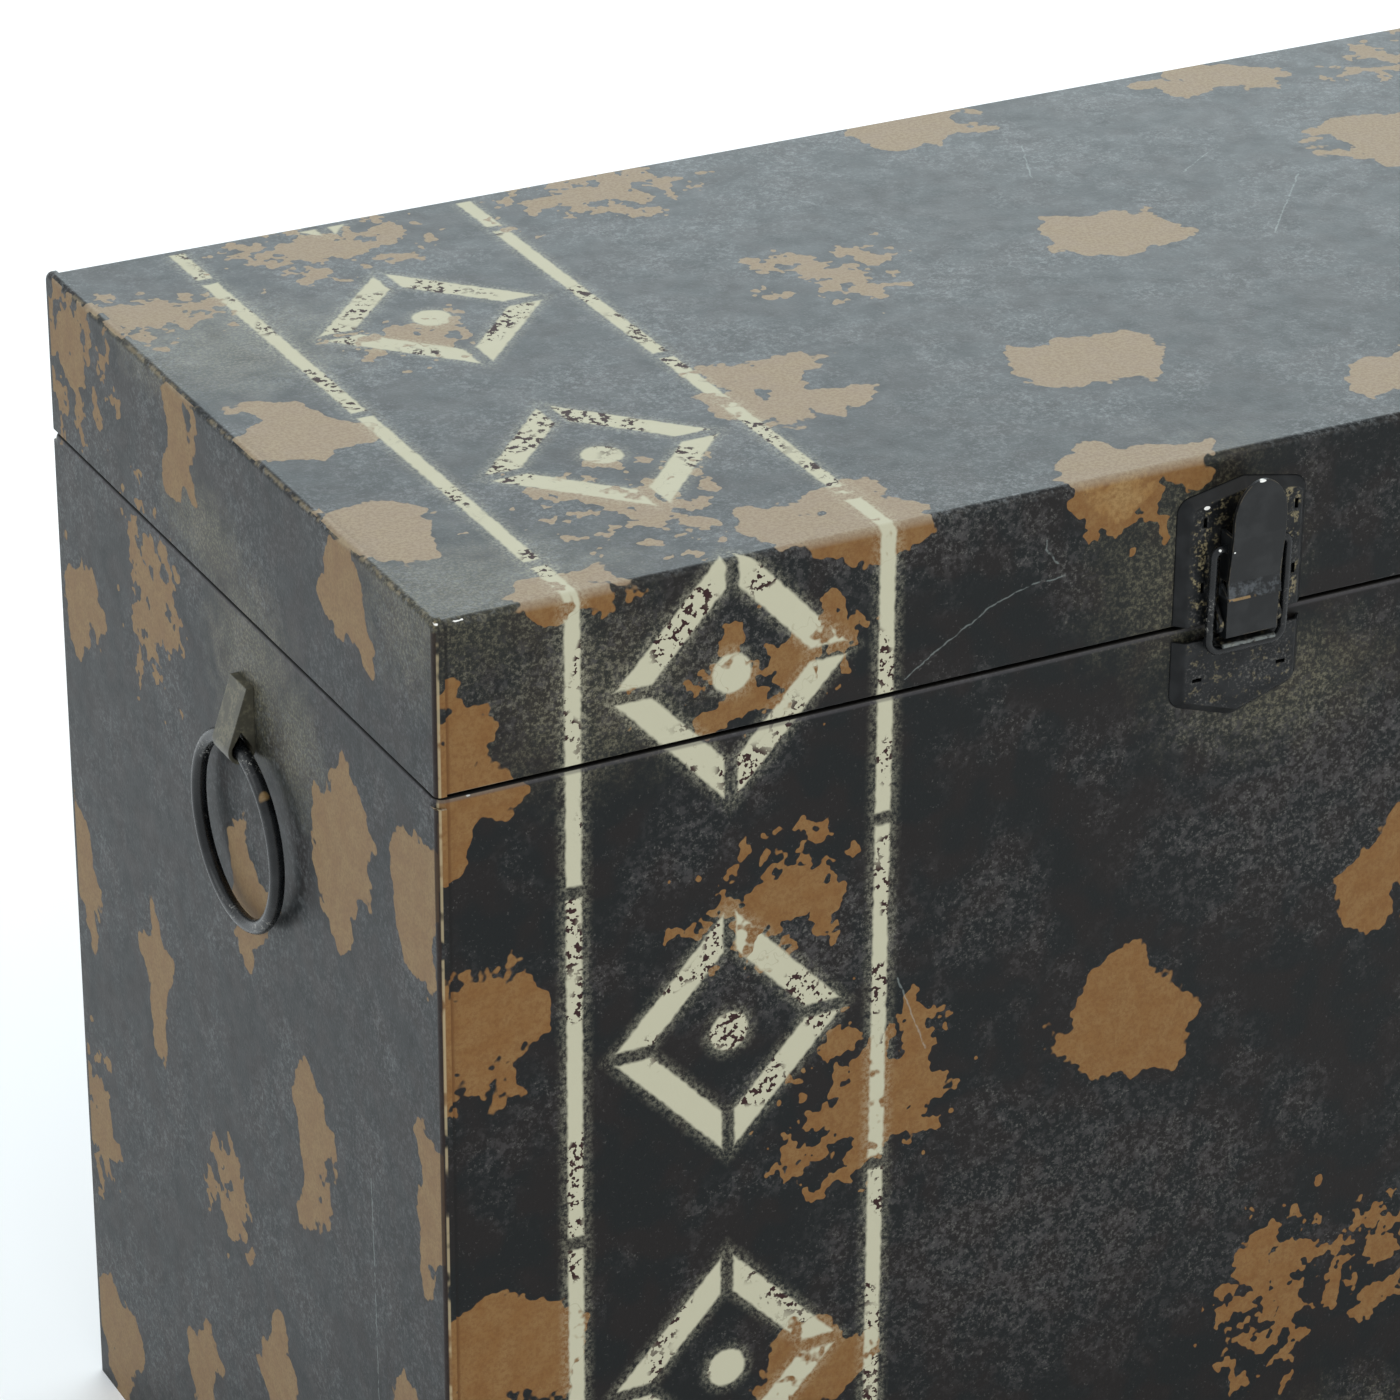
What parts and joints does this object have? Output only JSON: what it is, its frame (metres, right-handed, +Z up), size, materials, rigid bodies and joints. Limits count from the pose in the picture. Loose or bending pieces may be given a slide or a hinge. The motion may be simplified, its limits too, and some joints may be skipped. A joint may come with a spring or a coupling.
{
  "type": "small tin trunk",
  "caption": "Rectangular sheet-metal trunk with a flush hinged lid, draw latch on the front and ring handles on the ends.",
  "frame": {"origin": "centre of the underside", "axes": "+X along the length, -Y towards the latch side, +Z up"},
  "size_m": [0.4322, 0.2426, 0.327],
  "materials": {
    "body_paint": "worn charcoal paint with speckle, rust-brown bare patches and a stencilled cream ornament",
    "latch_metal": "satin black paint over pressed steel, rubbed bright on its edges",
    "handle_metal": "dark paint over steel wire, worn and speckled",
    "hinge_metal": "dark satin paint over steel"
  },
  "bodies": {
    "base": {"base_wrap": "body_paint", "base_left_end": "body_paint", "base_right_end": "body_paint", "base_collar": "body_paint", "strike_plate": "latch_metal", "left_ring_strap": "handle_metal", "right_ring_strap": "handle_metal", "hinge_left_base_leaf": "hinge_metal", "hinge_right_base_leaf": "hinge_metal", "hinge_left_pin": "hinge_metal", "hinge_right_pin": "hinge_metal", "hinge_base_rivets": "hinge_metal"},
    "lid": {"lid_wrap": "body_paint", "lid_left_end": "body_paint", "lid_right_end": "body_paint", "latch_plate": "latch_metal", "latch_pin": "latch_metal", "hinge_left_lid_leaf": "hinge_metal", "hinge_right_lid_leaf": "hinge_metal", "hinge_lid_rivets": "hinge_metal"},
    "lever": {"latch_lever": "latch_metal"},
    "bail": {"latch_bail": "latch_metal"},
    "left_handle": {"left_ring": "handle_metal"},
    "right_handle": {"right_ring": "handle_metal"}
  },
  "joints": [
    {"name": "lid_hinge", "type": "hinge", "parent": "base", "child": "lid", "pos_m": [0, 0.1169, 0.2836], "axis": [-1, 0, 0], "range_deg": [0, 110]},
    {"name": "lever_hinge", "type": "hinge", "parent": "lid", "child": "lever", "pos_m": [0, -0.1189, 0.2848], "axis": [1, 0, 0], "range_deg": [0, 120]},
    {"name": "bail_hinge", "type": "hinge", "parent": "lever", "child": "bail", "pos_m": [0, -0.1195, 0.3043], "axis": [1, 0, 0], "range_deg": [-120, 0]},
    {"name": "left_ring_hinge", "type": "hinge", "parent": "base", "child": "left_handle", "pos_m": [-0.21254, -0.0075, 0.2502], "axis": [0, 1, 0], "range_deg": [0, 170]},
    {"name": "right_ring_hinge", "type": "hinge", "parent": "base", "child": "right_handle", "pos_m": [0.21254, -0.0075, 0.2502], "axis": [0, -1, 0], "range_deg": [0, 170]}
  ],
  "couplings": [
    {"joint": "bail_hinge", "follows": "lever_hinge", "ratio": -1}
  ]
}
